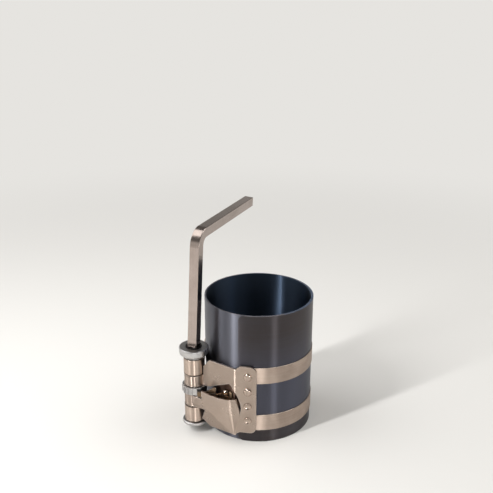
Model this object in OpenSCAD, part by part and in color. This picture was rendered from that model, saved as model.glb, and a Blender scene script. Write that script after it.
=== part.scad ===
// Ratcheting piston ring compressor: a spring steel sleeve that two steel bands draw together.
// The bands wind onto an upright spindle, which a square key turns and a pawl holds.
// Origin on the sleeve's axis at its lower edge, +Z up, spindle on the -X side. Millimetres.

/* [Sleeve] */
// Outer diameter of the sleeve as it stands closed
sleeve_d = 71.4; // [60:0.1:120]
// Height of the sleeve
sleeve_h = 88.9; // [80:0.1:140]
// Thickness of the sleeve's sheet
sheet_t = 0.4; // [0.25:0.05:0.8]
// Gap between neighbouring turns of the sheet
sheet_gap = 0.15; // [0.1:0.05:0.6]
// Turn of the inner end past the last whole half turn, degrees
sleeve_last_arc = 172; // [130:1:178]
// Direction of the sheet's outer end, degrees from +X
sleeve_end_dir = -137.1; // [-142:0.1:-134]
// Corner radius at the ends of the sheet
sleeve_corner_r = 3.5; // [1:0.5:8]

/* [Bands] */
// Width of a band
band_w = 11; // [8:0.5:13]
// Thickness of a band
band_t = 0.4; // [0.25:0.05:0.6]
// Height of the lower band's middle
lower_band_z = 14.4; // [13.5:0.1:16]
// Height of the upper band's middle
upper_band_z = 48.2; // [46.5:0.1:52]
// Direction in which a band starts under the plate, degrees from +X
band_start_dir = -135; // [-136:0.1:-132]
// Turns of band left on the spindle inside the outer wrap, in half turns
inner_half_turns = 2; // [2:1:4]
// Length of the outer wrap around the spindle, degrees
wrap_angle = 300; // [200:5:310]

/* [Bracket] */
// Thickness of the bracket's sheet
bracket_t = 1.2; // [0.8:0.1:1.4]
// Height of the bracket at its bend
bracket_h = 48.2; // [46:0.1:50]
// Height of the bracket's lower edge, at the bend, above the sleeve's lower edge
bracket_z = 4.6; // [3:0.1:5.5]
// Direction of the plate's rivet line, degrees from +X
plate_dir = -126.6; // [-128:0.1:-125]
// Reach of the plate from the rivet line to the bend
plate_left = 8.6; // [8:0.1:10]
// Reach of the plate from the rivet line to its free edge
plate_right = 5.5; // [5:0.1:9]
// Radius of the plate's free corners
plate_corner_r = 4.2; // [2:0.1:5]
// Wall of the knuckle that carries the spindle
knuckle_wall = 1.3; // [0.9:0.1:1.6]
// Reach of the wheel slot from the spindle's axis
slot_reach = 10; // [9.4:0.1:11]
// Bulge of the hood beside the knuckle, from the wing's middle plane
hood_bulge = 7.9; // [7.8:0.1:8.8]
// Bulge of the hood beside the bend
hood_crest = 5.8; // [5.6:0.1:6.8]
// Width of the cut corners of the wing beside the coils
wing_cut_w = 4.6; // [2:0.1:5]
// Height of the cut corners of the wing beside the coils
wing_cut_h = 5.6; // [3:0.1:7]
// Clear space between a coil and the wing's edge
coil_gap = 0.6; // [0.5:0.1:3]

/* [Spindle] */
// Clear space between the sleeve's band and the coil on the spindle
spindle_gap = 3.3; // [2.8:0.1:6]
// Thickness of the ratchet wheel
wheel_h = 5; // [3.6:0.1:6]
// Radius of the ratchet wheel over its teeth
wheel_r = 8.3; // [7.8:0.1:8.6]
// Number of ratchet teeth
wheel_teeth = 16; // [12:4:20]
// Depth of a ratchet tooth
tooth_depth = 0.9; // [0.6:0.1:1]
// Radius of the collar's rim
collar_r = 9.5; // [8.6:0.1:11]
// Height of the collar
collar_h = 7; // [5:0.1:10]
// Radius of the foot
foot_r = 8.2; // [7:0.1:9]
// Thickness of the foot
foot_t = 2.3; // [1.5:0.1:2.8]

/* [Key] */
// Width across the flats of the square key
key_w = 6.3; // [5:0.1:6.4]
// Height of the key's arm above the sleeve's lower edge
key_top = 136.8; // [110:0.1:150]
// Reach of the key's arm from the spindle
key_reach = 79.3; // [50:0.1:100]
// Radius of the key's bend, at its middle line
key_bend_r = 7.5; // [6:0.5:14]
// Lean of the loose key in its socket, degrees
key_lean = 2.9; // [0:0.1:3.5]
// Direction of the key's arm, degrees from +X
key_dir = 40.7; // [0:0.1:90]
// Depth of the square socket
socket_depth = 6.5; // [6:0.1:9.5]

/* [Pawl] */
// Distance of the pawl's pin from the spindle, along the wing
pawl_reach = 24; // [23:0.1:24.5]
// Height of the pawl's blade
pawl_h = 3.2; // [2:0.1:3.4]
// Radius of the pawl's pin
pin_r = 1.2; // [0.8:0.1:1.3]
// Radius of the pawl's hub
hub_r = 2.2; // [1.9:0.1:2.3]
// Radius of the thumb post
thumb_r = 1.1; // [0.8:0.1:1.2]
// Height of the thumb post above the blade
thumb_h = 4; // [3:0.1:5]
// Wire of the pawl's spring
wire_d = 0.6; // [0.3:0.05:0.7]

/* [Fasteners] */
// Radius of a screw's or rivet's shank
shank_r = 1.4; // [1:0.1:1.8]
// Radius of a screw's or rivet's head
head_r = 2.6; // [2.2:0.1:3]
// Height of a screw's head
screw_head_h = 1.3; // [0.8:0.1:2]
// Height of a rivet's head
rivet_head_h = 0.7; // [0.4:0.1:1.2]

/* [Hidden] */

$fn = 96;
// Sides of the rounds inside a blended shape
blend_fn = 32;
// Thickness of a slice that a blend starts or ends on
slice = 0.2;
// Amount by which a cut passes through a face
over = 1;

// Clearances: face to face, turning in a bore, between turning and fixed surfaces
seat_gap = 0.05;
run_gap = 0.1;
free_gap = 0.3;
axial_gap = 0.5;

function polar(r, a) = [r * cos(a), r * sin(a)];
function thousandth(x) = round(x * 1000) / 1000;
// Points along a cubic curve from a to d
function bezier(a, b, c, d) = [for (i = [0 : lip_steps]) let (t = i / lip_steps, u = 1 - t)
    u ^ 3 * a + 3 * u ^ 2 * t * b + 3 * u * t ^ 2 * c + t ^ 3 * d];

// Sleeve: half turns of sheet about two centres, each half turn closer in
sheet_pitch = sheet_t + sheet_gap;
sleeve_r = sleeve_d / 2;
whole_half_turns = 4;
function turn_in(k) = sleeve_r - k * sheet_pitch / 2 - sheet_t;
function turn_shift(k) = (k % 2 == 0) ? 0 : -sheet_pitch / 2;
sleeve_bore_r = turn_in(whole_half_turns);

// Bands: an arc round the sleeve, then a run that crosses to the spindle
band_in = sleeve_r + seat_gap;
upper_band_z0 = upper_band_z - band_w / 2;
lower_band_z0 = lower_band_z - band_w / 2;

// Key socket and spindle
socket_w = key_w / cos(key_lean) + socket_depth * tan(key_lean) + 2 * run_gap;
socket_wall = 0.33;
core_r = thousandth(socket_w / sqrt(2) + socket_wall);
knuckle_r = core_r + run_gap + knuckle_wall;
turn_pitch = band_t + seat_gap;
turns_in = core_r + seat_gap;
turns_out = turns_in + inner_half_turns * turn_pitch / 2 + band_t;
wrap_in = turns_out + free_gap;
wrap_out = wrap_in + band_t;
spindle_d = sleeve_r + seat_gap + band_t + spindle_gap + wrap_out;
spindle_x = -spindle_d;

// The band's crossing run is the inner common tangent of the band's arc and the outer wrap
cross_r = band_in + band_t + wrap_in;
cross_turn = 180 - acos(cross_r / spindle_d);
cross_len = thousandth(sqrt(spindle_d ^ 2 - cross_r ^ 2));

// Heights along the spindle
foot_z1 = lower_band_z0 - axial_gap;
foot_z0 = foot_z1 - foot_t;
knuckle_z0 = lower_band_z0 + band_w + axial_gap;
knuckle_z1 = upper_band_z0 - axial_gap;
wheel_z0 = (knuckle_z0 + knuckle_z1 - wheel_h) / 2 + axial_gap;
wheel_z1 = wheel_z0 + wheel_h;
slot_z0 = wheel_z0 - axial_gap;
slot_z1 = wheel_z1 + axial_gap;
collar_z0 = upper_band_z0 + band_w + axial_gap;
collar_z1 = collar_z0 + collar_h;
spindle_z1 = collar_z1 + axial_gap;
socket_z0 = spindle_z1 - socket_depth;
tenon_r = core_r * 0.7;
peen_h = 0.8;
hook_w = band_t + 2 * run_gap;
hook_depth = 1.1;
hook_dir = key_dir;

// Bracket: a flat plate on the bands, a bend, and a flat wing aimed at the spindle's axis
bracket_z1 = bracket_z + bracket_h;
plate_in = band_in + band_t + seat_gap;
plate_mid = plate_in + bracket_t / 2;
bend = [plate_mid * cos(plate_dir) + plate_left * sin(plate_dir),
    plate_mid * sin(plate_dir) - plate_left * cos(plate_dir)];
wing_span = bend - [spindle_x, 0];
wing_len = norm(wing_span);
wing_dir = atan2(wing_span[1], wing_span[0]);
bend_turn = plate_dir + 90 - wing_dir;
notch_s = wrap_out + coil_gap;
// Lean of the wing's edge beside the lower coil, where the hood bulges towards the knuckle
notch_lean = 4.2;
// Rise of the wing's long edges from the bend to the coils, and of the plate's edges over the bend's
wing_rise = 1.4;
plate_foot = 2.6;
plate_rise = 2;
plate_shoulder = 3.6;
// Radius of the bend at mid-sheet, and the flats that make it
bend_r = 6;
bend_steps = 6;
// Dip of the edges over the bend, and reach of the wing's lower corner past it
bend_dip = 0.3;
bend_corner = 0.84;

// Hood and window, as places along the wing (s) and heights (z)
slit_past_bend = 3.7;
slit_z = bracket_z + 15;
slit_s = wing_len + slit_past_bend * cos(bend_turn);
slit_y = slit_past_bend * sin(bend_turn);
hood_start = 8;
hood_round = 4.4;
// The hood reaches nearly its full bulge at the knuckle's foot
hood_swell = 0.7;
hood_low = [[3, knuckle_r, knuckle_z0 + 2], [slot_reach, hood_bulge - hood_swell, knuckle_z0 + 4],
    [wing_len - 4, hood_crest - hood_swell, knuckle_z0 + 5]];
hood_high = [[3, knuckle_r, slot_z1], [slot_reach, hood_bulge, slot_z1], [wing_len - 3, hood_crest, slot_z1]];
lug_t = bracket_t;
lug_half = 3.4;
// Lip of the hood: level from the wheel slot to the bend, then down to the slit's end in the plate
lip_drop = 2.4;
lip_level = slot_z1 - lip_drop;
lip_turn = [wing_len + 0.6, lip_level];
lip_steps = 6;
lip = concat(
    bezier([slot_reach, slot_z1], [slot_reach + 3, lip_level + 1], [wing_len - 8, lip_level - 1], lip_turn),
    bezier(lip_turn, [wing_len + 2.6, lip_level], [slit_s + 0.3, slit_z + 7], [slit_s, slit_z]));
// Edge of the window above the lip, from the slit back to the wheel slot
window_peak = [wing_len - 3.5, slot_z1 + 6.4];
window_edge = concat(
    bezier([slit_s + 0.8, slit_z + 5], [slit_s + 0.6, slot_z1 - 3.5], [wing_len - 1.2, slot_z1 + 5], window_peak),
    [[slot_reach + 1.5, slot_z1 + 0.2], [slot_reach, slot_z1]]);

// Pawl: laid out with its tooth in the wheel, then swung clear of the teeth by the lift
pawl_lift = 3.4;
// Swing from there to the pawl's stop
pawl_free = 1.1;
pawl_pin_y = -0.3;
pawl_z0 = wheel_z0 + free_gap;
pawl_z1 = pawl_z0 + pawl_h;
tooth_pitch = 360 / wheel_teeth;
tooth_root_r = wheel_r - tooth_depth;
// Direction, from the wing, of the tooth face that the pawl holds
tooth_dir = -48;
tip_gap = 0.5;
tip_rise = 0.27;
tip_t = 1.1;
tip_back = tooth_pitch * 0.4;
thumb_at = [3.9, -1.4];
// Rib that stands up along the blade: its thickness, height, and ends as distances from the pin
rib_t = 1;
rib_h = 4;
rib_near = 6.6;
rib_far = 13;
lug_z1 = pawl_z0 - free_gap;
peen_r = pin_r + 0.7;
spring_r = pin_r + wire_d / 2 + 0.25;
// Directions, about the pin, in which the spring's legs leave its coil
hood_turn = 146;
thumb_turn = 76;
spring_z0 = pawl_z1 + free_gap + wire_d / 2;
spring_rise = wire_d + seat_gap;
spring_z1 = spring_z0 + (2 + (hood_turn - thumb_turn) / 360) * spring_rise;
pin_head_z = spring_z1 + wire_d / 2 + free_gap / 2;
pin_head_r = pin_r + 0.9;

// Fasteners on the plate: two screws above, two rivets below
fastener_pitch = 10.5;
fastener_z = [for (i = [0 : 3]) upper_band_z - axial_gap - (3 - i) * fastener_pitch];
rivet_z = [fastener_z[0], fastener_z[1]];
screw_z = [fastener_z[2], fastener_z[3]];
slot_w = 0.7;
shank_in = sleeve_r - sheet_t;
hole_r = shank_r + seat_gap;
hole_in = sleeve_r - sheet_t - sheet_gap / 2;
plate_out = plate_in + bracket_t;

// Frames: the spindle's axis, the wing (x along it from the spindle, y towards the sleeve), the plate
module at_spindle() { translate([spindle_x, 0, 0]) children(); }
module on_wing() { at_spindle() rotate(wing_dir) children(); }
module on_plate() { rotate(plate_dir) children(); }

// Curved strip about +Z: inner radius, thickness, foot, height, start and sweep in degrees
module strip(r, t, z, h, from, sweep) {
    rotate(from) rotate_extrude(angle = sweep) translate([r, z]) square([t, h]);
}

// One corner left outside a rounded sheet end, as a bar along +X; the corner lies at y = 0, z = 0
module corner_bar(r, length) {
    rotate([90, 0, 90]) linear_extrude(length) difference() {
        translate([-over, -over]) square([r + over, r + over]);
        translate([r, r]) circle(r);
    }
}

// Outline on the wing's plane (s, z), extruded right through it
module through_wing(depth) { rotate([90, 0, 0]) linear_extrude(depth, center = true) children(); }

module sleeve() {
    color("#45474c") difference() {
        rotate(sleeve_end_dir) for (k = [0 : whole_half_turns]) translate([turn_shift(k), 0, 0])
            strip(turn_in(k), sheet_t, 0, sleeve_h, (k % 2) * 180,
                k < whole_half_turns ? 180 : sleeve_last_arc);
        outer_corners();
        inner_corners();
        on_plate() for (z = fastener_z) translate([hole_in, 0, z])
            rotate([0, 90, 0]) cylinder(r = hole_r, h = sheet_pitch + over);
    }
}

// Rounds the corners of the sheet's outer end, in the outermost turn only
module outer_corners() {
    rotate(sleeve_end_dir) difference() {
        for (top = [0, 1]) translate([0, 0, top * sleeve_h]) mirror([0, 0, top])
            translate([hole_in - over, 0, 0]) corner_bar(sleeve_corner_r, sheet_pitch + 2 * over);
        translate([0, 0, -over]) cylinder(r = hole_in, h = sleeve_h + 2 * over);
    }
}

// Rounds the corners of the sheet's inner end, in the innermost turn only
module inner_corners() {
    inner_edge = sleeve_bore_r + sheet_t + sheet_gap / 2;
    rotate(sleeve_end_dir + sleeve_last_arc) intersection() {
        for (top = [0, 1]) translate([0, 0, top * sleeve_h]) mirror([0, 0, top])
            translate([sleeve_bore_r - over, 0, 0]) mirror([0, 1, 0])
                corner_bar(sleeve_corner_r, sheet_pitch + 2 * over);
        translate([0, 0, -over]) cylinder(r = inner_edge, h = sleeve_h + 2 * over);
    }
}

// A band from under the plate, round the sleeve and across to its outer wrap on the spindle
module band(z, hole_z) {
    difference() {
        rotate(cross_turn) {
            mirror([0, 1, 0]) strip(band_in, band_t, z, band_w, 0, cross_turn - band_start_dir);
            translate([band_in, 0, z]) cube([band_t, cross_len, band_w]);
            translate([cross_r, cross_len, 0]) mirror([1, 0, 0])
                strip(wrap_in, band_t, z, band_w, 0, wrap_angle);
        }
        on_plate() translate([band_in - over, 0, hole_z]) rotate([0, 90, 0])
            cylinder(r = hole_r, h = band_t + 2 * over);
    }
}

module upper_band() { color("#c3b5a6") band(upper_band_z0, fastener_z[3]); }
module lower_band() { color("#c3b5a6") band(lower_band_z0, fastener_z[0]); }

// The band's inner turns on the spindle, with the hooked end that sits in the spindle's slot
module band_turns(z) {
    at_spindle() rotate(hook_dir) {
        for (k = [0 : inner_half_turns - 1]) translate([(k % 2 == 0) ? 0 : -turn_pitch / 2, 0, 0])
            strip(turns_in + k * turn_pitch / 2, band_t, z, band_w, (k % 2) * 180, 180);
        translate([core_r - hook_depth, 0, z]) cube([hook_depth + turns_in - core_r + band_t / 2, band_t, band_w]);
    }
}

module upper_band_turns() { color("#b9aa9b") band_turns(upper_band_z0); }
module lower_band_turns() { color("#b9aa9b") band_turns(lower_band_z0); }

// Plan of the bent sheet, wing and plate, in the wing's frame
module sheet_plan() {
    centre = [wing_len - bend_r * tan(bend_turn / 2), bend_r];
    half = bracket_t / 2;
    free = plate_left + plate_right + over - bend_r * tan(bend_turn / 2);
    along = free * [cos(bend_turn), sin(bend_turn)];
    bend_dirs = [for (i = [0 : bend_steps]) bend_turn * i / bend_steps];
    outer = [for (a = bend_dirs) centre + (bend_r + half) * [sin(a), -cos(a)]];
    inner = [for (a = bend_dirs) centre + (bend_r - half) * [sin(a), -cos(a)]];
    polygon(concat([[core_r, -half]], outer, [outer[bend_steps] + along, inner[bend_steps] + along],
        [for (i = [0 : bend_steps]) inner[bend_steps - i]], [[core_r, half]]));
}

// Outline of the wing (s, z), with its corner cut beside the coil, run on past the bend
module wing_area() {
    low = bracket_z + wing_rise;
    high = bracket_z1 + wing_rise;
    past = wing_len + 2 * bracket_t;
    polygon([[core_r - over, low], [notch_s + wing_cut_w, low], [wing_len + bend_corner, bracket_z],
        [past, bracket_z + 3 * bracket_t], [past, bracket_z1 - bend_dip],
        [notch_s + wing_cut_w, high], [notch_s, high - wing_cut_h],
        [notch_s, knuckle_z1 - run_gap], [core_r - over, knuckle_z1 - run_gap]]);
}

// Outline of the plate (along it, z), with its free corners rounded, run on past the bend
module plate_area() {
    r = plate_corner_r;
    low = bracket_z + plate_foot;
    high = bracket_z1 + plate_rise;
    lobe = plate_shoulder - plate_left;
    past = -2 * bracket_t - plate_left;
    polygon([[past, bracket_z + 3 * bracket_t], [-bend_dip - plate_left, bracket_z + bend_dip],
        [lobe, low], [lobe, high], [past, bracket_z1 - 2 * bracket_t]]);
    translate([lobe, low]) square([plate_right - r - lobe, high - low]);
    translate([lobe, low + r]) square([plate_right - lobe, high - low - 2 * r]);
    for (z = [low + r, high - r]) translate([plate_right - r, z]) circle(r);
}

// Wing and plate, one sheet bent once
module bent_sheet() {
    intersection() {
        on_wing() linear_extrude(sleeve_h) sheet_plan();
        union() {
            on_wing() through_wing(4 * bracket_t) wing_area();
            on_plate() translate([plate_in - bracket_t, 0, 0]) rotate([90, 0, 90])
                linear_extrude(3 * bracket_t) plate_area();
        }
    }
}

// Solid under the hood's skin: a flat strip at the wing's foot that swells to full bulge at the slot
module hood_form() {
    hull() {
        for (foot = [[hood_start, 0, bracket_z - over], [wing_len, 0, bracket_z - over],
            [slit_s, slit_y, slit_z]])
            translate(foot) cylinder(d = bracket_t - free_gap, h = slice, $fn = blend_fn);
        for (top = concat(hood_low, hood_high)) translate([top[0], hood_round - top[1], top[2]])
            cylinder(r = hood_round, h = slice, $fn = blend_fn);
    }
}

// Area of the wing that the hood and the window above it take up
module hood_area() {
    polygon(concat([[-over, bracket_z - over], [wing_len - bracket_t, bracket_z - over],
        [slit_s, slit_z]], window_edge, [[-over, slot_z1]]));
}

// Area of the hood below its lip
module lip_area() {
    low = bracket_z + wing_rise;
    ring_foot = knuckle_z0 + run_gap;
    polygon(concat([[0, ring_foot], [0, slot_z1]], lip, [[slit_s + over, bracket_z + run_gap],
        [notch_s + wing_cut_w, low], [notch_s, low + wing_cut_h], [notch_s + notch_lean, ring_foot]]));
}

// Skin of the hood, trimmed to its lip
module hood_skin() {
    intersection() {
        difference() {
            hood_form();
            translate([0, bracket_t, 0]) hood_form();
        }
        through_wing(4 * hood_bulge) lip_area();
    }
}

// Shelf inside the hood that holds the pawl's pin
module pawl_lug() {
    intersection() {
        hood_form();
        translate([pawl_reach - lug_half, -2 * hood_bulge, lug_z1 - lug_t])
            cube([2 * lug_half, 2 * hood_bulge + pawl_pin_y + hub_r, lug_t]);
    }
}

module bracket() {
    color("#b5a598") difference() {
        union() {
            difference() {
                bent_sheet();
                on_wing() through_wing(4 * hood_bulge) hood_area();
            }
            on_wing() {
                hood_skin();
                pawl_lug();
            }
            at_spindle() translate([0, 0, knuckle_z0]) cylinder(r = knuckle_r, h = knuckle_z1 - knuckle_z0);
        }
        at_spindle() cylinder(r = core_r + run_gap, h = sleeve_h);
        on_wing() {
            translate([-2 * slot_reach, -2 * slot_reach, slot_z0])
                cube([3 * slot_reach, 4 * slot_reach, slot_z1 - slot_z0]);
            translate([pawl_reach, pawl_pin_y, lug_z1 - lug_t - over])
                cylinder(r = pin_r + seat_gap, h = lug_t + 2 * over);
        }
        on_plate() for (z = fastener_z) translate([plate_in - over, 0, z])
            rotate([0, 90, 0]) cylinder(r = hole_r, h = bracket_t + 2 * over);
    }
}

// Slotted screw: shank along +X, seat of the head at x = 0
module screw(length) {
    edge = 0.4 * screw_head_h;
    difference() {
        rotate([0, 90, 0]) rotate_extrude() polygon([[0, -length], [shank_r, -length], [shank_r, 0],
            [head_r, 0], [head_r, edge], [0.8 * head_r, 0.85 * screw_head_h],
            [0.5 * head_r, screw_head_h], [0, screw_head_h]]);
        translate([screw_head_h / 2, -slot_w / 2, -head_r]) cube([screw_head_h, slot_w, 2 * head_r]);
    }
}

// Set rivet with a hollow driven end: shank along +X, seat of the head at x = 0
module rivet(length) {
    difference() {
        union() {
            translate([-length, 0, 0]) rotate([0, 90, 0]) cylinder(r = shank_r, h = length);
            rotate([0, 90, 0]) cylinder(r1 = head_r, r2 = head_r - rivet_head_h / 2, h = rivet_head_h);
        }
        translate([rivet_head_h + head_r, 0, 0]) sphere(head_r * 1.25);
    }
}

module plate_screws() {
    color("#a89c90") on_plate() for (z = screw_z) translate([plate_out, 0, z]) screw(plate_out - shank_in);
}

module plate_rivets() {
    color("#a89c90") on_plate() for (z = rivet_z) translate([plate_out, 0, z]) rivet(plate_out - shank_in);
}

// Pin that the pawl swings on, peened under its shelf, with a domed head over the spring
module pawl_pin() {
    color("#cfc8c0") on_wing() translate([pawl_reach, pawl_pin_y, 0]) {
        translate([0, 0, lug_z1 - lug_t - peen_h]) cylinder(r1 = pin_r, r2 = peen_r, h = peen_h);
        translate([0, 0, lug_z1 - lug_t]) cylinder(r = pin_r, h = pin_head_z - lug_z1 + lug_t + seat_gap);
        translate([0, 0, pin_head_z]) intersection() {
            translate([0, 0, -pin_head_r * 0.6]) sphere(pin_head_r * 1.17);
            cylinder(r = pin_head_r, h = pin_head_r);
        }
    }
}

// Closed tube along a list of points, with upright rings
module wire(points, d, sides) {
    n = len(points);
    rings = [for (i = [0 : n - 1])
        let (t = points[min(i + 1, n - 1)] - points[max(i - 1, 0)],
            side = cross(t, [0, 0, 1]) / norm(cross(t, [0, 0, 1])),
            up = cross(side, t) / norm(t))
        for (j = [0 : sides - 1]) points[i] + d / 2 * (side * cos(360 * j / sides) + up * sin(360 * j / sides))];
    skin = [for (i = [0 : n - 2], j = [0 : sides - 1])
        [i * sides + j, i * sides + (j + 1) % sides, (i + 1) * sides + (j + 1) % sides, (i + 1) * sides + j]];
    polyhedron(rings, concat([[for (j = [sides - 1 : -1 : 0]) j]], skin,
        [[for (j = [0 : sides - 1]) (n - 1) * sides + j]]));
}

// Torsion spring round the pin: one leg bears inside the hood, one behind the thumb post
module pawl_spring() {
    steps = 40;
    turn = hood_turn - thumb_turn + 720;
    thumb_y = thumb_at[1] + thumb_r + thumb_at[0] * sin(pawl_lift + pawl_free) + wire_d / 2 + free_gap;
    hood_y = bracket_t + wire_d / 2 + seat_gap - 0.45 * (hood_bulge + hood_crest) - pawl_pin_y;
    hood_s = -5;
    coil = [for (i = [0 : steps]) let (t = i / steps, a = hood_turn - turn * t)
        [spring_r * cos(a), spring_r * sin(a), spring_z0 + spring_rise * turn / 360 * t]];
    hood_leg = [[hood_s, hood_y, lip_level - wire_d], [hood_s + run_gap, hood_y + run_gap, spring_z0]];
    thumb_leg = [[thumb_at[0] + thumb_r / 2, thumb_y, spring_z1]];
    color("#d9d4cc") on_wing() translate([pawl_reach, pawl_pin_y, 0])
        wire(concat(hood_leg, coil, thumb_leg), wire_d, 8);
}

// Spindle core with its square socket, the slots for the bands' hooks and the peened lower tenon
module spindle() {
    color("#b9b4ae") at_spindle() difference() {
        union() {
            translate([0, 0, foot_z1]) cylinder(r = core_r, h = spindle_z1 - foot_z1);
            translate([0, 0, foot_z0]) cylinder(r = tenon_r, h = foot_t);
            translate([0, 0, foot_z0 - peen_h]) cylinder(r1 = tenon_r, r2 = core_r, h = peen_h);
        }
        rotate(key_dir) translate([-socket_w / 2, -socket_w / 2, socket_z0])
            cube([socket_w, socket_w, socket_depth + over]);
        rotate(hook_dir) for (z = [lower_band_z0, upper_band_z0])
            translate([core_r - hook_depth - run_gap, -run_gap, z - run_gap])
                cube([hook_depth + over, hook_w, band_w + 2 * run_gap]);
    }
}

// Flared collar pressed on the spindle's top
module drive_collar() {
    flare_z = collar_z0 + 0.4 * collar_h;
    chamfer = 0.5;
    color("#a9a7a5") at_spindle() rotate_extrude() polygon([
        [core_r + seat_gap, collar_z0], [knuckle_r, collar_z0], [knuckle_r, collar_z0 + chamfer],
        [collar_r - chamfer, flare_z - chamfer], [collar_r, flare_z], [collar_r, collar_z1 - chamfer],
        [collar_r - chamfer, collar_z1], [core_r + seat_gap, collar_z1]]);
}

// Ratchet wheel: each tooth rises with the angle and drops along a radial face
module ratchet_wheel() {
    start = wing_dir + tooth_dir;
    color("#a9a7a5") at_spindle() translate([0, 0, wheel_z0]) linear_extrude(wheel_h) difference() {
        polygon([for (i = [1 : wheel_teeth], tip = [1, 0])
            polar(tip == 1 ? wheel_r : tooth_root_r, start + i * tooth_pitch)]);
        circle(core_r + seat_gap);
    }
}

// Washer under the lower coil, held by the spindle's peened tenon
module spindle_foot() {
    chamfer = foot_t / 5;
    color("#a9a7a5") at_spindle() rotate_extrude() polygon([
        [tenon_r + seat_gap, foot_z0], [foot_r - chamfer, foot_z0], [foot_r, foot_z0 + chamfer],
        [foot_r, foot_z1 - chamfer], [foot_r - chamfer, foot_z1], [tenon_r + seat_gap, foot_z1]]);
}

// Pawl: ribbed blade with a tooth, hub on the pin and a thumb post in the hood's mouth
module pawl() {
    hold = tooth_dir + tip_gap / tooth_root_r * 180 / PI;
    tip_r = tooth_root_r + tip_rise;
    pin = [pawl_reach, pawl_pin_y];
    blade = pin - polar(tip_r + tip_t / 2, hold);
    rib_turn = atan2(blade[1], blade[0]);
    color("#bdb2a6") on_wing() translate(pin) rotate(pawl_lift) translate([0, 0, pawl_z0]) difference() {
        union() {
            linear_extrude(pawl_h) {
                hull() {
                    polygon([for (p = [polar(tip_r, hold), polar(tip_r + tip_t, hold),
                        polar(tip_r + tooth_depth * 0.55, hold + tip_back)]) p - pin]);
                    circle(r = hub_r * 0.45, $fn = blend_fn);
                }
                hull() {
                    circle(r = hub_r * 0.8, $fn = blend_fn);
                    translate(thumb_at) circle(r = thumb_r * 0.8, $fn = blend_fn);
                }
            }
            cylinder(r = hub_r, h = pawl_h);
            rotate(rib_turn) rotate([90, 0, 0]) linear_extrude(rib_t, center = true) polygon([
                [-rib_far, 0], [-rib_near, 0], [-rib_near, pawl_h + rib_h],
                [-rib_near - rib_t, pawl_h + rib_h], [-rib_far, pawl_h + rib_t]]);
            translate(thumb_at) {
                cylinder(r = thumb_r, h = pawl_h + thumb_h - thumb_r);
                translate([0, 0, pawl_h + thumb_h - thumb_r]) sphere(thumb_r);
            }
        }
        translate([0, 0, -over]) cylinder(r = pin_r + run_gap / 2, h = pawl_h + 2 * over);
    }
}

// Square key: a shank in the socket, a bend and an arm, leaning as it stands loose
module key() {
    pivot_z = socket_z0 + socket_depth / 2;
    foot = socket_z0 + free_gap - pivot_z;
    rise = (key_top - pivot_z) / cos(key_lean) - key_bend_r;
    color("#c9c0b6") at_spindle() translate([0, 0, pivot_z]) rotate(key_dir) rotate([key_lean, 0, 0]) {
        translate([-key_w / 2, -key_w / 2, foot]) cube([key_w, key_w, rise - foot]);
        translate([key_bend_r, key_w / 2, rise]) rotate([90, 0, 0]) rotate(90)
            rotate_extrude(angle = 90) translate([key_bend_r - key_w / 2, 0]) square(key_w);
        translate([key_bend_r, -key_w / 2, rise + key_bend_r - key_w / 2])
            cube([key_reach - key_bend_r, key_w, key_w]);
    }
}

sleeve();
upper_band();
lower_band();
bracket();
plate_screws();
plate_rivets();
pawl_pin();
pawl_spring();
spindle();
drive_collar();
ratchet_wheel();
spindle_foot();
upper_band_turns();
lower_band_turns();
pawl();
key();
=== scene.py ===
"""Finishes, edges, light and camera for a piston ring compressor whose solids come packed."""

from collections import namedtuple
from math import cos, pi, radians, sin

import bpy
from bpy.props import FloatProperty, FloatVectorProperty, PointerProperty
from mathutils import Matrix, Vector


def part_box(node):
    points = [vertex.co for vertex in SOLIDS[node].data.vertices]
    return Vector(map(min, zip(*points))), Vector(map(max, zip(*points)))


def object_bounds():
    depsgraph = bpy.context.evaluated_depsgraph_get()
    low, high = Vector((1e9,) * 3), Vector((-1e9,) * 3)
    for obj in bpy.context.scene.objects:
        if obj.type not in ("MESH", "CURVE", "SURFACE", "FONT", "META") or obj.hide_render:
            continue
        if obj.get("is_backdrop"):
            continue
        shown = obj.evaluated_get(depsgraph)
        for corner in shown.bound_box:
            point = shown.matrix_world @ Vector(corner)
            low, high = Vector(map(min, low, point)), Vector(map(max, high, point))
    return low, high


bl_info = {
    "name": "Piston ring compressor finishes",
    "version": (1, 0, 0),
    "blender": (4, 5, 0),
    "location": "3D View > Sidebar > Ring compressor",
    "description": "Dresses the solids of a piston ring compressor and sets its stage",
    "category": "Object",
}

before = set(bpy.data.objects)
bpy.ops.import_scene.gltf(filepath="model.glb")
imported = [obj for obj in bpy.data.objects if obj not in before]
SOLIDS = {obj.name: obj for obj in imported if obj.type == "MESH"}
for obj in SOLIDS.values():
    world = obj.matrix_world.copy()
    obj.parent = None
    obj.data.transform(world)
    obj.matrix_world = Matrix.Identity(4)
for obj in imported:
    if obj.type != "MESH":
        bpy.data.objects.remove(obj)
MM = 0.001

# How far above the lower band and over the upper one the sleeve's blue cast fades
BLUE_RISE = (-12 * MM, 2 * MM)
BLUE_FALL = 34 * MM
BLUE_SHARE = 0.7
# Depth under the sleeve's outside between which the outer turn goes over into the inner one
TURN_DEPTH = (0.44 * MM, 0.25 * MM)
# Reach from the spindle's axis within which strip and knuckles have a gloss of their own, and where that ends
SPINDLE_REACH = (9 * MM, 12 * MM)
# Painted shade in the seams beside the knuckles: how far it goes over the bands' edges, and how much it covers
SEAM_REACH = (0.3 * MM, 0.8 * MM)
SEAM_SHARE = 0.9
# Painted shade on the sleeve behind the window: its height, how far in from the pawl pin it lies, its reach and
# cover
WINDOW_SHADE_HEIGHT = 36 * MM
WINDOW_SHADE_INSET = 0.93
WINDOW_SHADE_REACH = (12 * MM, 15 * MM)
WINDOW_SHADE_SHARE = 0.85
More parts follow.
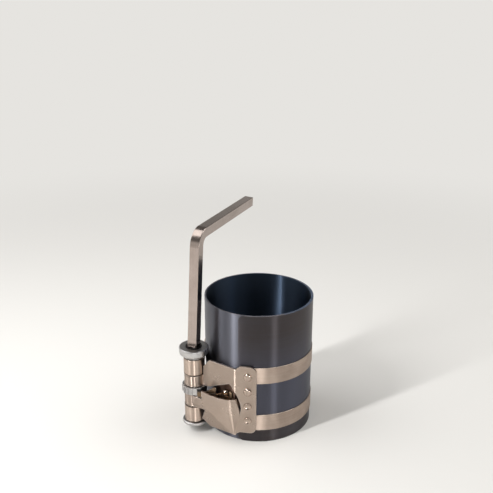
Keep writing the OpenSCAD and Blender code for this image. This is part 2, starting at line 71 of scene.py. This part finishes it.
# Half the height over which the key's drawn lines turn from the shank to the arm, and how far below its top that is
KEY_TURN = 3 * MM
KEY_BEND = 8 * MM
# Distance over which the floor goes over into the pale backdrop
FLOOR_FADE = (0.16, 0.75)
# Height, as a sine, over which the backdrop goes over into the room above it
BACKDROP_FADE = 0.2
# Height of the dim far wall's middle, and the cosines between which the room goes over into it
WALL_RISE = radians(28)
WALL_FADE = (0.25, 0.85)


def all_but(*nodes):
    """The names of all solids but the given ones."""
    return [node for node in SOLIDS if node not in nodes]


# side is a lamp's turn from the view's right hand, where -90 is behind the camera, and rise its height, both in
# degrees. far, wide and tall are in metres and power in watts. lit names what the lamp lights, when that isn't
# everything.
Lamp = namedtuple("Lamp", "name side rise far wide tall power lit", defaults=(None,))
LAMPS = (
    Lamp("front_strip", -86, -1.5, 0.8, 0.05, 0.07, 2.0, all_but("sleeve", "key")),
    Lamp("right_strip", -58, -1.5, 0.8, 0.14, 0.07, 0.52),
    Lamp("streak_light", -143, 36, 0.7, 0.035, 0.4, 3.6, ["floor", *all_but("key", "drive_collar", "bracket")]),
    Lamp("bend_strip", -120, -1.5, 0.8, 0.03, 0.07, 2.4, ["bracket"]),
    Lamp("left_box", -172, -1.5, 0.7, 0.2, 0.07, 0.35),
    Lamp("left_window", 172, 52, 1.0, 0.8, 0.8, 4.5),
    Lamp("right_window", 12, 52, 1.0, 0.8, 0.8, 4.5),
)


def linear(code):
    """An sRGB hex colour as linear values."""
    parts = [int(code[i:i + 2], 16) / 255 for i in (1, 3, 5)]
    return [c / 12.92 if c <= 0.04045 else ((c + 0.055) / 1.055) ** 2.4 for c in parts]


def spindle_axis():
    """The place of the spindle's axis in plan, in metres, from the foot washer that is turned about it."""
    low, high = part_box("spindle_foot")
    return (low + high) / 2


def colour(code, name, about):
    """A colour setting."""
    return FloatVectorProperty(name=name, description=about, default=linear(code), subtype="COLOR",
        min=0, max=1)


def length(mm, name, about):
    """A length setting, given in millimetres."""
    return FloatProperty(name=name, description=about, default=mm * MM, subtype="DISTANCE", unit="LENGTH",
        min=0)


class FinishSettings(bpy.types.PropertyGroup):
    """Colours of the finishes."""
    blued: colour("#4c4747", "Blued sheet", "Grey of the blued sleeve")
    blued_deep: colour("#5a5d6b", "Blue cast", "Blue cast in the blued sleeve")
    # Partly a painted reflection: the inner turn is laid lighter where it shows, as well as having its own tone.
    inner_tone_and_sheen: colour("#5e5f67", "Inner turn grey and sheen", "Grey of the inner turn where it shows")
    blued_inside: colour("#434f60", "Blued inside", "Deep blue of the sleeve's oiled inside")
    # Painted shade: a dark brown laid along the seams beside the knuckles, where the gaps lie in shade.
    seam_shade: colour("#3a2a20", "Seam shade", "Dark brown of the painted shade in the seams")
    # Painted shade: a warm brown laid on the sleeve where it lies in shade behind the bracket's window.
    oiled: colour("#6b5344", "Window shade", "Brown of the painted shade on the sleeve behind the window")
    nickel: colour("#b2a296", "Nickel", "Warm white of the nickel plate")
    strip: colour("#bbaa9d", "Plated strip", "Warm white of the bands, a little lighter than the bracket")
    nickel_dull: colour("#a08e81", "Dull nickel", "Nickel plate where handling has dulled it")
    # On the bracket's edges this colour is also a painted highlight, not only rubbed plate.
    nickel_bright: colour("#eae1da", "Bright nickel", "Nickel plate rubbed bright along its edges")
    drawn: colour("#aea19a", "Drawn bar", "Cool white of the plated key")
    drawn_dull: colour("#978a82", "Dull drawn bar", "The key's plate where handling has dulled it")
    # Painted shade: the core's near black makes the gaps between the bands' turns read dark.
    black: colour("#2b2725", "Black oxide", "Oiled black of the spindle's core")
    zinc: colour("#c4c1bf", "Zinc", "Cool grey of the zinc plate")
    zinc_dull: colour("#8b8e92", "Dull zinc", "Zinc plate in the turning marks")
    zinc_bright: colour("#f2f3f4", "Bright zinc", "Zinc plate rubbed bright along its edges")
    pawl_steel: colour("#7d6a56", "Tempered steel", "Straw brown of the tempered pawl")
    pawl_steel_deep: colour("#4a3b2e", "Deep temper", "Darker temper colour on the pawl")
    wire: colour("#a5805e", "Spring wire", "Bronze tint of the tempered wire")
    wire_deep: colour("#6b4a33", "Deep wire", "Darker tint along the wire")


class EdgeSettings(bpy.types.PropertyGroup):
    """How far each piece's edges are rounded."""
    sheet: length(0.08, "Sheet edge", "Rounding of the thin sheet's edges")
    pressing: length(0.22, "Pressing edge", "Rounding of the pressed bracket's edges")
    turned: length(0.3, "Turned edge", "Rounding of the turned pieces' edges")
    bar: length(0.45, "Bar edge", "Rounding of the key's long edges")
    small: length(0.12, "Small edge", "Rounding of the pawl's and the fasteners' edges")


class StageSettings(bpy.types.PropertyGroup):
    """Camera, lamps and floor."""
    floor: colour("#e9e7e3", "Floor", "Colour of the floor")
    floor_radius: FloatProperty(name="Floor radius", description="How far the floor reaches",
        default=18, subtype="DISTANCE", unit="LENGTH")
    camera_place: FloatVectorProperty(name="Camera", description="Where the camera stands",
        default=(-0.19739, -0.38853, 0.28001), subtype="TRANSLATION", unit="LENGTH")
    heading: FloatProperty(name="Heading", description="Turn of the view from +Y towards +X",
        default=radians(25.88), subtype="ANGLE", unit="ROTATION")
    dip: FloatProperty(name="Dip", description="How far the view looks down",
        default=radians(19.991), subtype="ANGLE", unit="ROTATION")
    roll: FloatProperty(name="Roll", description="Turn of the camera about its view",
        default=radians(0.194), subtype="ANGLE", unit="ROTATION")
    lens: FloatProperty(name="Lens", description="Focal length on a 36 mm sensor, in millimetres",
        default=53.117, min=1)
    room: FloatProperty(name="Room light", description="Strength of the light from all round",
        default=0.22, min=0)
    backdrop: FloatProperty(name="Backdrop", description="Brightness of the backdrop and of the floor far off",
        default=0.97, min=0)
    backdrop_top: FloatProperty(name="Backdrop top",
        description="Sine of the angle up to which the backdrop stands",
        default=0.2, min=0, max=1)
    far_wall: FloatProperty(name="Far wall", description="Strength of the light from behind the piece",
        default=0.2, min=0)


def add_node(tree, kind, links=None, **settings):
    """Adds a node, sets its attributes, and sets or links its sockets."""
    node = tree.nodes.new(kind)
    for name, value in settings.items():
        setattr(node, name, value)
    for name, value in (links or {}).items():
        if isinstance(value, bpy.types.NodeSocket):
            tree.links.new(value, node.inputs[name])
        else:
            node.inputs[name].default_value = value
    return node


def opaque(rgb):
    """A colour with full alpha."""
    return (*rgb, 1)


def fade(tree, value, ends, first=0.0, last=1.0, curve="LINEAR"):
    """Goes from first to last while value goes between the two ends."""
    return add_node(tree, "ShaderNodeMapRange", {"Value": value, "From Min": ends[0], "From Max": ends[1],
        "To Min": first, "To Max": last}, interpolation_type=curve).outputs["Result"]


def reckon(tree, operation, *values):
    """One sum on plain values."""
    return add_node(tree, "ShaderNodeMath", dict(enumerate(values)), operation=operation).outputs["Value"]


def vectors(tree, operation, *values):
    """One sum on vectors, which gives a plain value or a vector."""
    gives = "Value" if operation in ("DOT_PRODUCT", "LENGTH", "DISTANCE") else "Vector"
    return add_node(tree, "ShaderNodeVectorMath", dict(enumerate(values)), operation=operation).outputs[gives]


def blend(tree, share, under, over):
    """The colour over laid on the colour under."""
    return add_node(tree, "ShaderNodeMix", {"Factor": share, "A": under, "B": over},
        data_type="RGBA").outputs["Result"]


def height_of(tree, place):
    """How high a place, or how far up a direction, is."""
    return add_node(tree, "ShaderNodeSeparateXYZ", {"Vector": place}).outputs["Z"]


def in_plan(tree, place):
    """A place with its height left out."""
    return vectors(tree, "MULTIPLY", place, (1, 1, 0))


def surface_normal(tree):
    """The normal of the shaded surface."""
    return add_node(tree, "ShaderNodeNewGeometry").outputs["Normal"]


def new_material(name):
    """A material with only its output, and its tree."""
    material = bpy.data.materials.new(name)
    material.use_nodes = True
    material.node_tree.nodes.clear()
    return material, material.node_tree


def plated_metal(name, base, dull, bright, roughness, marks, cloud_mm=14, edge_mm=0.5, depth_mm=0.02,
                 edge_brightening=0.8, anisotropy=0.0, layers=(), cloud=0.5, mark=0.3, own_gloss=None):
    """A metal with tool marks, soft clouds of handling and edges laid over with a brighter colour: rubbed plate,
    and on the bracket also a painted highlight.

    marks(tree, place) gives the tool marks' pattern, from 0 to 1. Each of layers is a colour that lies over the
    body and a mask(tree, place) that tells where. own_gloss is a roughness and the mask of the
    place that has it.
    """
    material, tree = new_material(name)
    place = add_node(tree, "ShaderNodeTexCoord").outputs["Object"]
    pattern = marks(tree, place)
    clouds = add_node(tree, "ShaderNodeTexNoise",
        {"Vector": place, "Scale": 1 / (cloud_mm * MM), "Detail": 5.0, "Roughness": 0.6}).outputs["Fac"]
    # Where handling and the marks' floors have dulled the metal
    cloud_share = fade(tree, clouds, (0.42, 0.72), last=cloud)
    mark_share = fade(tree, pattern, (0.35, 0.8), last=mark)
    dulled = add_node(tree, "ShaderNodeMath", {0: cloud_share, 1: mark_share}, operation="ADD",
        use_clamp=True).outputs["Value"]
    paint = blend(tree, dulled, opaque(base), opaque(dull))
    for over, mask in layers:
        paint = blend(tree, mask(tree, place), paint, opaque(over))
    # Where the surface turns sharply within edge_mm a brighter colour is laid on: rubbed plate, and on the bracket
    # also a painted highlight
    rounded = add_node(tree, "ShaderNodeBevel", {"Radius": edge_mm * MM}, samples=6).outputs["Normal"]
    flat = surface_normal(tree)
    agree = vectors(tree, "DOT_PRODUCT", rounded, flat)
    edge = fade(tree, agree, (0.985, 0.86), last=edge_brightening)
    rubbed = reckon(tree, "MULTIPLY", edge, clouds)
    paint = blend(tree, rubbed, paint, opaque(bright))
    gloss = fade(tree, dulled, (0.0, 1.0), roughness, min(1.0, roughness * 1.3))
    if own_gloss:
        local, mask = own_gloss
        gloss = add_node(tree, "ShaderNodeMix",
            {"Factor": mask(tree, place), "A": gloss, "B": local}).outputs["Result"]
    relief = add_node(tree, "ShaderNodeBump",
        {"Height": pattern, "Strength": 0.35, "Distance": depth_mm * MM})
    shader = add_node(tree, "ShaderNodeBsdfPrincipled",
        {"Base Color": paint, "Metallic": 1.0, "Roughness": gloss, "Anisotropic": anisotropy,
         "Normal": relief.outputs["Normal"]})
    if anisotropy:
        # Lines that lie level across a wall draw its reflections out upright. The axis leans a little, so that a
        # level top has a tangent too.
        level = vectors(tree, "CROSS_PRODUCT", flat, (0.03, 0.02, 1))
        tree.links.new(vectors(tree, "CROSS_PRODUCT", level, flat), shader.inputs["Tangent"])
    add_node(tree, "ShaderNodeOutputMaterial", {"Surface": shader.outputs["BSDF"]})
    return material


def stretched_noise(tree, place, grain_mm, detail=3.0):
    """Noise whose grain has the given size in millimetres along X, Y and Z."""
    drawn = vectors(tree, "MULTIPLY", place, [1 / (mm * MM) for mm in grain_mm])
    return add_node(tree, "ShaderNodeTexNoise",
        {"Vector": drawn, "Scale": 1.0, "Detail": detail}).outputs["Fac"]


def rolled_lines(spacing_mm, run_mm):
    """Lines that run round the sleeve's axis, as the rolls leave them."""
    return lambda tree, place: stretched_noise(tree, place, (run_mm, run_mm, spacing_mm))


def pressed_grain(grain_mm):
    """The even grain that a press leaves in plated sheet."""
    return lambda tree, place: stretched_noise(tree, place, (grain_mm, grain_mm, grain_mm), detail=4.0)


def drawn_lines(spacing_mm, run_mm, turn_z):
    """Lines along the key's shank, and above the bend along its arm."""
    def marks(tree, place):
        shank = stretched_noise(tree, place, (spacing_mm, spacing_mm, run_mm))
        arm = stretched_noise(tree, place, (run_mm, run_mm, spacing_mm))
        share = fade(tree, height_of(tree, place), (turn_z - KEY_TURN, turn_z + KEY_TURN))
        return add_node(tree, "ShaderNodeMix", {"Factor": share, "A": shank, "B": arm}).outputs["Result"]
    return marks


def turned_rings(spacing_mm, axis):
    """Rings about the spindle's axis on end faces, and rings along it on round faces."""
    def marks(tree, place):
        off = vectors(tree, "SUBTRACT", place, (axis.x, axis.y, 0))
        reach = vectors(tree, "LENGTH", in_plan(tree, off))
        flat = add_node(tree, "ShaderNodeCombineXYZ", {"X": reach, "Z": height_of(tree, off)})
        return stretched_noise(tree, flat.outputs["Vector"], (spacing_mm, 1, spacing_mm))
    return marks


def band_gap():
    """The heights of the lower band's upper edge and the upper band's lower edge."""
    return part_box("lower_band")[1].z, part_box("upper_band")[0].z


def between_bands(tree, place):
    """Share of deep blue, which gathers between the two bands where hands rub least."""
    low, high = band_gap()
    height = height_of(tree, place)
    rise = fade(tree, height, [low + step for step in BLUE_RISE])
    fall = fade(tree, height, (high, high + BLUE_FALL), BLUE_SHARE, 0.0)
    return reckon(tree, "MULTIPLY", rise, fall)


def inner_turn(tree, place):
    """Share of the inner turn, which lies one sheet deeper where the outer turn ends; its lighter grey is partly
    the turn's own tone and partly a painted reflection.
    """
    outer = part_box("sleeve")[1].x
    reach = vectors(tree, "LENGTH", in_plan(tree, place))
    return fade(tree, reach, [outer - depth for depth in TURN_DEPTH], 1.0, 0.0)


def faces_inward(tree, place):
    """One where the wall faces the sleeve's axis."""
    outward = vectors(tree, "DOT_PRODUCT", in_plan(tree, place), surface_normal(tree))
    return reckon(tree, "LESS_THAN", outward, 0.0)


def near_spindle(tree, place):
    """One beside the spindle, where bands and knuckles wind round it, and none on the way round the sleeve."""
    axis = spindle_axis()
    away = vectors(tree, "DISTANCE", in_plan(tree, place), (axis.x, axis.y, 0))
    return fade(tree, away, SPINDLE_REACH, 1.0, 0.0)


def seams(tree, place):
    """Share of painted shade in the seams where the bands' turns run on the bracket's knuckles."""
    low, high = band_gap()
    above = reckon(tree, "SUBTRACT", height_of(tree, place), (low + high) / 2)
    away = reckon(tree, "ABSOLUTE", above)
    share = fade(tree, away, [(high - low) / 2 + reach for reach in SEAM_REACH], SEAM_SHARE, 0.0)
    return reckon(tree, "MULTIPLY", share, near_spindle(tree, place))


def behind_window(tree, place):
    """Share of painted shade on the sleeve behind the bracket's window."""
    low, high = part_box("pawl_pin")
    pin = (low + high) / 2
    away = vectors(tree, "DISTANCE", place, (WINDOW_SHADE_INSET * pin.x, pin.y, WINDOW_SHADE_HEIGHT))
    return fade(tree, away, WINDOW_SHADE_REACH, WINDOW_SHADE_SHARE, 0.0)


def round_edges(node, width, angle=radians(32), steps=2):
    """Joins a solid's faces, rounds its sharp edges and shades its curves smooth, all by modifiers."""
    solid = SOLIDS[node]
    join = solid.modifiers.new("Join faces", "WELD")
    join.merge_threshold = 1e-6
    flat = solid.modifiers.new("Flat faces", "DECIMATE")
    flat.decimate_type = "DISSOLVE"
    flat.angle_limit = radians(0.2)
    edge = solid.modifiers.new("Rounded edges", "BEVEL")
    edge.width = width
    edge.segments = steps
    edge.limit_method = "ANGLE"
    edge.angle_limit = angle
    edge.use_clamp_overlap = True
    edge.harden_normals = False
    shade = solid.modifiers.new("Even shading", "WEIGHTED_NORMAL")
    shade.keep_sharp = True
    shade.weight = 60
    return solid


def wear_finish(node, material):
    """Gives a solid one material."""
    slots = SOLIDS[node].data.materials
    slots.clear()
    slots.append(material)


class SLEEVE_OT_dress(bpy.types.Operator):
    """Blue the rolled sleeve"""
    bl_idname = "ring_compressor.dress_sleeve"
    bl_label = "Dress the sleeve"

    def execute(self, context):
        tints, edges = context.scene.compressor_finish, context.scene.compressor_edges
        # Spring steel strip, cold rolled and blued: a dark oxide with a blue cast, soft gloss and fine rolling
        # lines that draw each light out into an upright streak. The lines are about 0.05 mm apart on the strip,
        # drawn at 0.8 mm so that they show.
        steel = plated_metal("Blued spring steel, cold rolled", tints.blued, tints.blued_deep, tints.nickel_dull,
            0.36, rolled_lines(0.8, 60), cloud_mm=45, edge_mm=0.15, depth_mm=0.003, edge_brightening=0.5, anisotropy=1.0,
            # The inner turn gets a lighter grey, partly its own tone and partly a painted reflection.
            layers=((tints.blued_deep, between_bands), (tints.inner_tone_and_sheen, inner_turn),
                # Behind the bracket's window the sleeve gets a warm brown: painted shade.
                (tints.oiled, behind_window), (tints.blued_inside, faces_inward)), cloud=0.25, mark=0.1)
        round_edges("sleeve", edges.sheet, steps=1)
        wear_finish("sleeve", steel)
        return {"FINISHED"}


class BANDS_OT_dress(bpy.types.Operator):
    """Plate the two bands and their turns round the spindle"""
    bl_idname = "ring_compressor.dress_bands"
    bl_label = "Dress the bands"

    def execute(self, context):
        tints, edges = context.scene.compressor_finish, context.scene.compressor_edges
        # Spring strip, nickel plated: warm white with a satin gloss and faint lines along its length, 0.08 mm
        # apart on the strip and drawn at 0.6 mm so that they show. It is glossier where it winds round the
        # spindle.
        strip = plated_metal("Nickel plated spring strip, rolled", tints.strip, tints.nickel_dull,
            tints.nickel_bright, 0.52, rolled_lines(0.6, 40), cloud_mm=16, edge_mm=0.25, depth_mm=0.004,
            # The seams beside the knuckles get a dark brown laid on: painted shade in the gaps.
            anisotropy=0.9, layers=((tints.seam_shade, seams),), own_gloss=(0.38, near_spindle))
        # The same strip in its inner turns, polished as they slide over each other: the light in front shows in
        # it as one narrow upright line.
        wound = plated_metal("Nickel plated spring strip, polished", tints.strip, tints.nickel_dull,
            tints.nickel_bright, 0.3, rolled_lines(0.6, 40), cloud_mm=16, edge_mm=0.25, depth_mm=0.002,
            anisotropy=0.95, cloud=0.2, mark=0.15)
        for node in ("upper_band", "lower_band", "upper_band_turns", "lower_band_turns"):
            round_edges(node, edges.sheet, steps=1)
            wear_finish(node, wound if node.endswith("turns") else strip)
        return {"FINISHED"}


class BRACKET_OT_dress(bpy.types.Operator):
    """Plate the pressed bracket"""
    bl_idname = "ring_compressor.dress_bracket"
    bl_label = "Dress the bracket"

    def execute(self, context):
        tints, edges = context.scene.compressor_finish, context.scene.compressor_edges
        # Mild steel sheet, pressed and nickel plated: warm white, a fine even grain from the die, and bright edges,
        # partly rubbed plate and partly a painted highlight. The knuckles are satin from the strip that turns
        # beside them.
        sheet = plated_metal("Nickel plated pressed steel", tints.nickel, tints.nickel_dull, tints.nickel_bright,
            0.27, pressed_grain(0.9), cloud_mm=9, edge_mm=0.6, depth_mm=0.006, edge_brightening=1.2, anisotropy=1.0,
            cloud=0.35, mark=0.2, own_gloss=(0.42, near_spindle))
        round_edges("bracket", edges.pressing)
        wear_finish("bracket", sheet)
        return {"FINISHED"}


class SPINDLE_OT_dress(bpy.types.Operator):
    """Plate the spindle, its collar, ratchet wheel and foot"""
    bl_idname = "ring_compressor.dress_spindle"
    bl_label = "Dress the spindle"

    def execute(self, context):
        tints, edges = context.scene.compressor_finish, context.scene.compressor_edges
        # Free cutting steel, turned and zinc plated: a cool grey with tool rings about the axis, 0.15 mm apart on
        # the piece and drawn at 0.5 mm so that they show.
        turned = plated_metal("Zinc plated turned steel", tints.zinc, tints.zinc_dull, tints.zinc_bright, 0.28,
            turned_rings(0.5, spindle_axis()), cloud_mm=7, edge_mm=0.5, depth_mm=0.012)
        # The core under the bands' turns, coloured near black as painted shade: a dark line in the gaps between
        # turns.
        oiled = plated_metal("Turned steel, black for painted shade", tints.black, tints.black, tints.zinc_dull, 0.3,
            turned_rings(0.5, spindle_axis()), cloud_mm=7, edge_mm=0.3, depth_mm=0.012)
        for node, finish in (("spindle", oiled), ("drive_collar", turned), ("spindle_foot", turned)):
            round_edges(node, edges.turned)
            wear_finish(node, finish)
        round_edges("ratchet_wheel", edges.small)
        wear_finish("ratchet_wheel", turned)
        return {"FINISHED"}


class KEY_OT_dress(bpy.types.Operator):
    """Plate the bent key"""
    bl_idname = "ring_compressor.dress_key"
    bl_label = "Dress the key"

    def execute(self, context):
        tints, edges = context.scene.compressor_finish, context.scene.compressor_edges
        # Square bar, cold drawn, bent and nickel plated: glossy flats with faint lines along the bar, 0.1 mm apart
        # on the bar and drawn at 0.7 mm so that they show, and bright corners.
        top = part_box("key")[1].z
        bar = plated_metal("Nickel plated drawn bar", tints.drawn, tints.drawn_dull, tints.nickel_bright, 0.2,
            drawn_lines(0.7, 25, top - KEY_BEND), cloud_mm=12, edge_mm=0.7, depth_mm=0.015)
        round_edges("key", edges.bar, steps=3)
        wear_finish("key", bar)
        return {"FINISHED"}


class PAWL_OT_dress(bpy.types.Operator):
    """Temper the pawl and its spring"""
    bl_idname = "ring_compressor.dress_pawl"
    bl_label = "Dress the pawl and its spring"

    def execute(self, context):
        tints, edges = context.scene.compressor_finish, context.scene.compressor_edges
        # Tool steel, hardened and tempered: straw to brown oxide with a dull gloss.
        tempered = plated_metal("Tempered tool steel", tints.pawl_steel, tints.pawl_steel_deep,
            tints.nickel_bright, 0.33, pressed_grain(0.7), cloud_mm=4, edge_mm=0.35, depth_mm=0.02)
        # Music wire, drawn and tempered: a bronze oxide with a fine even grain.
        wire = plated_metal("Tempered music wire", tints.wire, tints.wire_deep, tints.nickel_bright, 0.25,
            pressed_grain(0.4), cloud_mm=3, edge_mm=0.12, depth_mm=0.01)
        round_edges("pawl", edges.small)
        wear_finish("pawl", tempered)
        SOLIDS["pawl_spring"].modifiers.new("Join faces", "WELD").merge_threshold = 1e-6
        wear_finish("pawl_spring", wire)
        return {"FINISHED"}


class FASTENERS_OT_dress(bpy.types.Operator):
    """Plate the screws, rivets and pawl pin"""
    bl_idname = "ring_compressor.dress_fasteners"
    bl_label = "Dress the fasteners"

    def execute(self, context):
        tints, edges = context.scene.compressor_finish, context.scene.compressor_edges
        # Cold headed steel, nickel plated: bright domes with a fine grain from the die.
        headed = plated_metal("Nickel plated headed steel", tints.nickel, tints.nickel_dull, tints.nickel_bright,
            0.14, pressed_grain(0.6), cloud_mm=3, edge_mm=0.25, depth_mm=0.012)
        for node in ("plate_screws", "plate_rivets", "pawl_pin"):
            round_edges(node, edges.small)
            wear_finish(node, headed)
        return {"FINISHED"}


def soft_box(lamp, aim, turn):
    """Hangs a rectangular lamp so that it faces aim. turn is the view's turn in plan."""
    light = bpy.data.lights.new(lamp.name, "AREA")
    light.shape = "RECTANGLE"
    light.size = lamp.wide
    light.size_y = lamp.tall
    light.energy = lamp.power
    holder = bpy.data.objects.new(lamp.name, light)
    bpy.context.scene.collection.objects.link(holder)
    side, rise = radians(lamp.side) - turn, radians(lamp.rise)
    out = Vector((cos(side) * cos(rise), sin(side) * cos(rise), sin(rise)))
    holder.location = aim + lamp.far * out
    holder.rotation_euler = out.to_track_quat("Z", "Y").to_euler()
    holder.visible_camera = False
    return holder


class STAGE_OT_set(bpy.types.Operator):
    """Lay the floor, light the piece and stand the camera"""
    bl_idname = "ring_compressor.set_stage"
    bl_label = "Set the stage"

    def execute(self, context):
        stage, scene = context.scene.compressor_stage, context.scene
        scene.view_settings.view_transform = "Standard"
        floor = self.lay_floor(stage, scene)
        self.light(stage, scene, floor)
        self.stand_camera(stage, scene)
        return {"FINISHED"}

    def lay_floor(self, stage, scene):
        # Painted board, matt: pale and even, with the faint tooth of the roller. Away from the piece it glows as
        # pale as the backdrop, so that it has no far edge.
        material, tree = new_material("Matt painted board")
        place = add_node(tree, "ShaderNodeTexCoord").outputs["Object"]
        tooth = add_node(tree, "ShaderNodeTexNoise", {"Vector": place, "Scale": 1 / (3 * MM), "Detail": 3.0})
        relief = add_node(tree, "ShaderNodeBump",
            {"Height": tooth.outputs["Fac"], "Strength": 0.05, "Distance": 0.1 * MM})
        shader = add_node(tree, "ShaderNodeBsdfPrincipled",
            {"Base Color": opaque(stage.floor), "Roughness": 0.85, "Specular IOR Level": 0.1,
             "Normal": relief.outputs["Normal"]})
        glow = add_node(tree, "ShaderNodeEmission",
            {"Color": opaque(stage.floor), "Strength": stage.backdrop})
        share = fade(tree, vectors(tree, "LENGTH", place), FLOOR_FADE, curve="SMOOTHSTEP")
        both = add_node(tree, "ShaderNodeMixShader",
            {0: share, 1: shader.outputs["BSDF"], 2: glow.outputs["Emission"]})
        add_node(tree, "ShaderNodeOutputMaterial", {"Surface": both.outputs["Shader"]})
        board = bpy.data.meshes.new("floor")
        corners = 64
        ring = [(stage.floor_radius * cos(a), stage.floor_radius * sin(a), 0)
            for a in (2 * pi * i / corners for i in range(corners))]
        board.from_pydata(ring, [], [list(range(corners))])
        board.materials.append(material)
        floor = bpy.data.objects.new("floor", board)
        floor.location.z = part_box("sleeve")[0].z - 0.02 * MM
        scene.collection.objects.link(floor)
        floor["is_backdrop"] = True
        return floor

    def light(self, stage, scene, floor):
        turn = stage.heading
        world = bpy.data.worlds.new("Pale room")
        world.use_nodes = True
        tree = world.node_tree
        tree.nodes.clear()
        # The room's far wall is dim, so flat tops read darker than the upright faces
        far_wall = (sin(turn) * cos(WALL_RISE), cos(turn) * cos(WALL_RISE), sin(WALL_RISE))
        way = add_node(tree, "ShaderNodeTexCoord").outputs["Generated"]
        facing = vectors(tree, "DOT_PRODUCT", way, far_wall)
        dimmed = fade(tree, facing, WALL_FADE, stage.room, stage.far_wall, "SMOOTHSTEP")
        # Low down all round stands a pale backdrop, which goes over into the dimmer room above it
        edge = (stage.backdrop_top, stage.backdrop_top + BACKDROP_FADE)
        above = fade(tree, height_of(tree, way), edge, curve="SMOOTHSTEP")
        strength = add_node(tree, "ShaderNodeMix", {"Factor": above, "A": stage.backdrop, "B": dimmed})
        room = add_node(tree, "ShaderNodeBackground",
            {"Color": opaque(stage.floor), "Strength": strength.outputs["Result"]})
        add_node(tree, "ShaderNodeOutputWorld", {"Surface": room.outputs["Background"]})
        scene.world = world
        low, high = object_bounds()
        for lamp in LAMPS:
            holder = soft_box(lamp, (low + high) / 2, turn)
            if lamp.lit:
                lit = bpy.data.collections.new("Lit by " + lamp.name)
                for name in lamp.lit:
                    lit.objects.link(floor if name == "floor" else SOLIDS[name])
                holder.light_linking.receiver_collection = lit

    def stand_camera(self, stage, scene):
        h, p, q = stage.heading, stage.dip, stage.roll
        right = Vector((cos(h), -sin(h), 0))
        forward = Vector((sin(h) * cos(p), cos(h) * cos(p), -sin(p)))
        up = right.cross(forward)
        across = cos(q) * right + sin(q) * up
        upward = cos(q) * up - sin(q) * right
        lens = bpy.data.cameras.new("camera")
        lens.sensor_width = 36
        lens.lens = stage.lens
        lens.clip_start = 0.01
        camera = bpy.data.objects.new("camera", lens)
        camera.matrix_world = Matrix.Translation(stage.camera_place) @ Matrix(
            (across, upward, -forward)).transposed().to_4x4()
        scene.collection.objects.link(camera)
        scene.camera = camera


STEPS = (SLEEVE_OT_dress, BANDS_OT_dress, BRACKET_OT_dress, SPINDLE_OT_dress, KEY_OT_dress, PAWL_OT_dress,
    FASTENERS_OT_dress, STAGE_OT_set)


class COMPRESSOR_PT_panel(bpy.types.Panel):
    """Settings and steps of the ring compressor"""
    bl_idname = "COMPRESSOR_PT_panel"
    bl_label = "Ring compressor"
    bl_space_type = "VIEW_3D"
    bl_region_type = "UI"
    bl_category = "Ring compressor"

    def draw(self, context):
        scene = context.scene
        for group in (scene.compressor_finish, scene.compressor_edges, scene.compressor_stage):
            box = self.layout.box()
            for name in group.__annotations__:
                box.prop(group, name)
        for step in STEPS:
            self.layout.operator(step.bl_idname)


CLASSES = (FinishSettings, EdgeSettings, StageSettings, *STEPS, COMPRESSOR_PT_panel)


def register():
    for cls in CLASSES:
        bpy.utils.register_class(cls)
    bpy.types.Scene.compressor_finish = PointerProperty(type=FinishSettings)
    bpy.types.Scene.compressor_edges = PointerProperty(type=EdgeSettings)
    bpy.types.Scene.compressor_stage = PointerProperty(type=StageSettings)


def unregister():
    del bpy.types.Scene.compressor_stage
    del bpy.types.Scene.compressor_edges
    del bpy.types.Scene.compressor_finish
    for cls in reversed(CLASSES):
        bpy.utils.unregister_class(cls)


def main():
    register()
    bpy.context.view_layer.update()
    bpy.ops.ring_compressor.dress_sleeve()
    bpy.ops.ring_compressor.dress_bands()
    bpy.ops.ring_compressor.dress_bracket()
    bpy.ops.ring_compressor.dress_spindle()
    bpy.ops.ring_compressor.dress_key()
    bpy.ops.ring_compressor.dress_pawl()
    bpy.ops.ring_compressor.dress_fasteners()
    bpy.ops.ring_compressor.set_stage()


if __name__ == "__main__":
    main()
